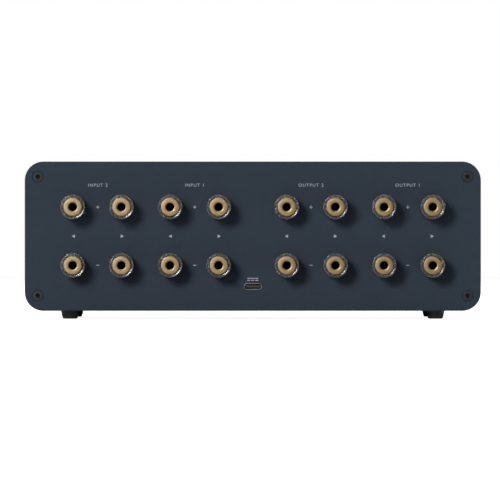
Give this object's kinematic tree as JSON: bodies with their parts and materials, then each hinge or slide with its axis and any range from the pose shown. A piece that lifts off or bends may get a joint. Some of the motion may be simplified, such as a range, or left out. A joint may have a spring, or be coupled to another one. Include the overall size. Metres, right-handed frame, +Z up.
{
  "type": "speaker selector switch",
  "caption": "Desktop speaker selector box with binding posts and a power socket on one panel, two needle meters and selector knobs on the other.",
  "frame": {"origin": "middle of the whole object's footprint, at the height of the feet's soles", "axes": "+X along the width, to the right when facing the connection panel; the connection panel faces -Y and the user's panel +Y; +Z up"},
  "size_m": [0.226, 0.1652, 0.078],
  "materials": {
    "case_paint": "fine textured powder coat",
    "panel_paint": "fine matte coat",
    "black_steel": "black oxide",
    "foot_rubber": "glossy rubber",
    "zinc_steel": "zinc plated",
    "gold_plate": "gold plated, satin turned",
    "black_nylon": "moulded",
    "nickel_steel": "nickel plated",
    "grey_plastic": "moulded",
    "circuit_board": "solder mask",
    "relay_plastic": "moulded",
    "ribbon_grey": "flat cable",
    "clear_pane": "polished clear",
    "dial_card": "printed card",
    "needle_paint": "matte black",
    "knob_aluminium": "anodised, turned",
    "clear_jacket": "clear moulded"
  },
  "bodies": {
    "case": {"case_sleeve": "case_paint", "rear_panel": "panel_paint", "front_panel": "panel_paint", "panel_screws": "black_steel", "feet": "foot_rubber", "foot_screws": "zinc_steel", "post_stems": "gold_plate", "outer_insulators": "black_nylon", "inner_insulators": "black_nylon", "post_nuts": "zinc_steel", "usb_c_shell": "nickel_steel", "usb_c_tongue": "grey_plastic", "terminal_board": "circuit_board", "relays": "relay_plastic", "front_board": "circuit_board", "ribbon_cable": "ribbon_grey", "meter_window": "clear_pane", "meter_housings": "black_nylon", "meter_dials": "dial_card", "meter_movements": "black_nylon", "rotary_switches": "zinc_steel", "bush_nuts": "nickel_steel", "button_switch": "black_nylon"},
    "cap_nut_01_body": {"cap_nut_01": "gold_plate"},
    "cap_jacket_01_body": {"cap_jacket_01": "clear_jacket"},
    "cap_nut_02_body": {"cap_nut_02": "gold_plate"},
    "cap_jacket_02_body": {"cap_jacket_02": "clear_jacket"},
    "cap_nut_03_body": {"cap_nut_03": "gold_plate"},
    "cap_jacket_03_body": {"cap_jacket_03": "clear_jacket"},
    "cap_nut_04_body": {"cap_nut_04": "gold_plate"},
    "cap_jacket_04_body": {"cap_jacket_04": "clear_jacket"},
    "cap_nut_05_body": {"cap_nut_05": "gold_plate"},
    "cap_jacket_05_body": {"cap_jacket_05": "clear_jacket"},
    "cap_nut_06_body": {"cap_nut_06": "gold_plate"},
    "cap_jacket_06_body": {"cap_jacket_06": "clear_jacket"},
    "cap_nut_07_body": {"cap_nut_07": "gold_plate"},
    "cap_jacket_07_body": {"cap_jacket_07": "clear_jacket"},
    "cap_nut_08_body": {"cap_nut_08": "gold_plate"},
    "cap_jacket_08_body": {"cap_jacket_08": "clear_jacket"},
    "cap_nut_09_body": {"cap_nut_09": "gold_plate"},
    "cap_jacket_09_body": {"cap_jacket_09": "clear_jacket"},
    "cap_nut_10_body": {"cap_nut_10": "gold_plate"},
    "cap_jacket_10_body": {"cap_jacket_10": "clear_jacket"},
    "cap_nut_11_body": {"cap_nut_11": "gold_plate"},
    "cap_jacket_11_body": {"cap_jacket_11": "clear_jacket"},
    "cap_nut_12_body": {"cap_nut_12": "gold_plate"},
    "cap_jacket_12_body": {"cap_jacket_12": "clear_jacket"},
    "cap_nut_13_body": {"cap_nut_13": "gold_plate"},
    "cap_jacket_13_body": {"cap_jacket_13": "clear_jacket"},
    "cap_nut_14_body": {"cap_nut_14": "gold_plate"},
    "cap_jacket_14_body": {"cap_jacket_14": "clear_jacket"},
    "cap_nut_15_body": {"cap_nut_15": "gold_plate"},
    "cap_jacket_15_body": {"cap_jacket_15": "clear_jacket"},
    "cap_nut_16_body": {"cap_nut_16": "gold_plate"},
    "cap_jacket_16_body": {"cap_jacket_16": "clear_jacket"},
    "input_knob_body": {"input_knob": "knob_aluminium"},
    "output_knob_body": {"output_knob": "knob_aluminium"},
    "left_needle_body": {"left_needle": "needle_paint"},
    "right_needle_body": {"right_needle": "needle_paint"},
    "light_button_body": {"light_button": "knob_aluminium"}
  },
  "joints": [
    {"name": "cap_01_travel", "type": "slide", "parent": "case", "child": "cap_nut_01_body", "axis": [0, -1, 0], "range_m": [0, 0.006]},
    {"name": "cap_01_turn", "type": "hinge", "parent": "cap_nut_01_body", "child": "cap_jacket_01_body", "pos_m": [-0.0888, -0.0634, 0.0554], "axis": [0, -1, 0], "range_deg": [0, 2880]},
    {"name": "cap_02_travel", "type": "slide", "parent": "case", "child": "cap_nut_02_body", "axis": [0, -1, 0], "range_m": [0, 0.006]},
    {"name": "cap_02_turn", "type": "hinge", "parent": "cap_nut_02_body", "child": "cap_jacket_02_body", "pos_m": [-0.0648, -0.0634, 0.0554], "axis": [0, -1, 0], "range_deg": [0, 2880]},
    {"name": "cap_03_travel", "type": "slide", "parent": "case", "child": "cap_nut_03_body", "axis": [0, -1, 0], "range_m": [0, 0.006]},
    {"name": "cap_03_turn", "type": "hinge", "parent": "cap_nut_03_body", "child": "cap_jacket_03_body", "pos_m": [-0.0408, -0.0634, 0.0554], "axis": [0, -1, 0], "range_deg": [0, 2880]},
    {"name": "cap_04_travel", "type": "slide", "parent": "case", "child": "cap_nut_04_body", "axis": [0, -1, 0], "range_m": [0, 0.006]},
    {"name": "cap_04_turn", "type": "hinge", "parent": "cap_nut_04_body", "child": "cap_jacket_04_body", "pos_m": [-0.0168, -0.0634, 0.0554], "axis": [0, -1, 0], "range_deg": [0, 2880]},
    {"name": "cap_05_travel", "type": "slide", "parent": "case", "child": "cap_nut_05_body", "axis": [0, -1, 0], "range_m": [0, 0.006]},
    {"name": "cap_05_turn", "type": "hinge", "parent": "cap_nut_05_body", "child": "cap_jacket_05_body", "pos_m": [0.0168, -0.0634, 0.0554], "axis": [0, -1, 0], "range_deg": [0, 2880]},
    {"name": "cap_06_travel", "type": "slide", "parent": "case", "child": "cap_nut_06_body", "axis": [0, -1, 0], "range_m": [0, 0.006]},
    {"name": "cap_06_turn", "type": "hinge", "parent": "cap_nut_06_body", "child": "cap_jacket_06_body", "pos_m": [0.0408, -0.0634, 0.0554], "axis": [0, -1, 0], "range_deg": [0, 2880]},
    {"name": "cap_07_travel", "type": "slide", "parent": "case", "child": "cap_nut_07_body", "axis": [0, -1, 0], "range_m": [0, 0.006]},
    {"name": "cap_07_turn", "type": "hinge", "parent": "cap_nut_07_body", "child": "cap_jacket_07_body", "pos_m": [0.0648, -0.0634, 0.0554], "axis": [0, -1, 0], "range_deg": [0, 2880]},
    {"name": "cap_08_travel", "type": "slide", "parent": "case", "child": "cap_nut_08_body", "axis": [0, -1, 0], "range_m": [0, 0.006]},
    {"name": "cap_08_turn", "type": "hinge", "parent": "cap_nut_08_body", "child": "cap_jacket_08_body", "pos_m": [0.0888, -0.0634, 0.0554], "axis": [0, -1, 0], "range_deg": [0, 2880]},
    {"name": "cap_09_travel", "type": "slide", "parent": "case", "child": "cap_nut_09_body", "axis": [0, -1, 0], "range_m": [0, 0.006]},
    {"name": "cap_09_turn", "type": "hinge", "parent": "cap_nut_09_body", "child": "cap_jacket_09_body", "pos_m": [-0.0888, -0.0634, 0.0266], "axis": [0, -1, 0], "range_deg": [0, 2880]},
    {"name": "cap_10_travel", "type": "slide", "parent": "case", "child": "cap_nut_10_body", "axis": [0, -1, 0], "range_m": [0, 0.006]},
    {"name": "cap_10_turn", "type": "hinge", "parent": "cap_nut_10_body", "child": "cap_jacket_10_body", "pos_m": [-0.0648, -0.0634, 0.0266], "axis": [0, -1, 0], "range_deg": [0, 2880]},
    {"name": "cap_11_travel", "type": "slide", "parent": "case", "child": "cap_nut_11_body", "axis": [0, -1, 0], "range_m": [0, 0.006]},
    {"name": "cap_11_turn", "type": "hinge", "parent": "cap_nut_11_body", "child": "cap_jacket_11_body", "pos_m": [-0.0408, -0.0634, 0.0266], "axis": [0, -1, 0], "range_deg": [0, 2880]},
    {"name": "cap_12_travel", "type": "slide", "parent": "case", "child": "cap_nut_12_body", "axis": [0, -1, 0], "range_m": [0, 0.006]},
    {"name": "cap_12_turn", "type": "hinge", "parent": "cap_nut_12_body", "child": "cap_jacket_12_body", "pos_m": [-0.0168, -0.0634, 0.0266], "axis": [0, -1, 0], "range_deg": [0, 2880]},
    {"name": "cap_13_travel", "type": "slide", "parent": "case", "child": "cap_nut_13_body", "axis": [0, -1, 0], "range_m": [0, 0.006]},
    {"name": "cap_13_turn", "type": "hinge", "parent": "cap_nut_13_body", "child": "cap_jacket_13_body", "pos_m": [0.0168, -0.0634, 0.0266], "axis": [0, -1, 0], "range_deg": [0, 2880]},
    {"name": "cap_14_travel", "type": "slide", "parent": "case", "child": "cap_nut_14_body", "axis": [0, -1, 0], "range_m": [0, 0.006]},
    {"name": "cap_14_turn", "type": "hinge", "parent": "cap_nut_14_body", "child": "cap_jacket_14_body", "pos_m": [0.0408, -0.0634, 0.0266], "axis": [0, -1, 0], "range_deg": [0, 2880]},
    {"name": "cap_15_travel", "type": "slide", "parent": "case", "child": "cap_nut_15_body", "axis": [0, -1, 0], "range_m": [0, 0.006]},
    {"name": "cap_15_turn", "type": "hinge", "parent": "cap_nut_15_body", "child": "cap_jacket_15_body", "pos_m": [0.0648, -0.0634, 0.0266], "axis": [0, -1, 0], "range_deg": [0, 2880]},
    {"name": "cap_16_travel", "type": "slide", "parent": "case", "child": "cap_nut_16_body", "axis": [0, -1, 0], "range_m": [0, 0.006]},
    {"name": "cap_16_turn", "type": "hinge", "parent": "cap_nut_16_body", "child": "cap_jacket_16_body", "pos_m": [0.0888, -0.0634, 0.0266], "axis": [0, -1, 0], "range_deg": [0, 2880]},
    {"name": "input_knob_turn", "type": "hinge", "parent": "case", "child": "input_knob_body", "pos_m": [0.086, 0.0666, 0.041], "axis": [0, -1, 0], "range_deg": [-30, 30]},
    {"name": "output_knob_turn", "type": "hinge", "parent": "case", "child": "output_knob_body", "pos_m": [-0.086, 0.0666, 0.041], "axis": [0, -1, 0], "range_deg": [-30, 30]},
    {"name": "left_needle_swing", "type": "hinge", "parent": "case", "child": "left_needle_body", "pos_m": [0.03033, 0.0546, 0.027], "axis": [0, -1, 0], "range_deg": [0, 90], "stiffness_Nm_per_rad": 0.00005, "springref_deg": -34.38},
    {"name": "right_needle_swing", "type": "hinge", "parent": "case", "child": "right_needle_body", "pos_m": [-0.03033, 0.0546, 0.027], "axis": [0, -1, 0], "range_deg": [0, 90], "stiffness_Nm_per_rad": 0.00005, "springref_deg": -34.38},
    {"name": "light_button_press", "type": "slide", "parent": "case", "child": "light_button_body", "axis": [0, -1, 0], "range_m": [0, 0.0012], "stiffness_N_per_m": 400, "springref_m": -0.0008}
  ],
  "couplings": [
    {"joint": "cap_01_turn", "follows": "cap_01_travel", "rad_per_m": 8377.5},
    {"joint": "cap_02_turn", "follows": "cap_02_travel", "rad_per_m": 8377.5},
    {"joint": "cap_03_turn", "follows": "cap_03_travel", "rad_per_m": 8377.5},
    {"joint": "cap_04_turn", "follows": "cap_04_travel", "rad_per_m": 8377.5},
    {"joint": "cap_05_turn", "follows": "cap_05_travel", "rad_per_m": 8377.5},
    {"joint": "cap_06_turn", "follows": "cap_06_travel", "rad_per_m": 8377.5},
    {"joint": "cap_07_turn", "follows": "cap_07_travel", "rad_per_m": 8377.5},
    {"joint": "cap_08_turn", "follows": "cap_08_travel", "rad_per_m": 8377.5},
    {"joint": "cap_09_turn", "follows": "cap_09_travel", "rad_per_m": 8377.5},
    {"joint": "cap_10_turn", "follows": "cap_10_travel", "rad_per_m": 8377.5},
    {"joint": "cap_11_turn", "follows": "cap_11_travel", "rad_per_m": 8377.5},
    {"joint": "cap_12_turn", "follows": "cap_12_travel", "rad_per_m": 8377.5},
    {"joint": "cap_13_turn", "follows": "cap_13_travel", "rad_per_m": 8377.5},
    {"joint": "cap_14_turn", "follows": "cap_14_travel", "rad_per_m": 8377.5},
    {"joint": "cap_15_turn", "follows": "cap_15_travel", "rad_per_m": 8377.5},
    {"joint": "cap_16_turn", "follows": "cap_16_travel", "rad_per_m": 8377.5}
  ]
}
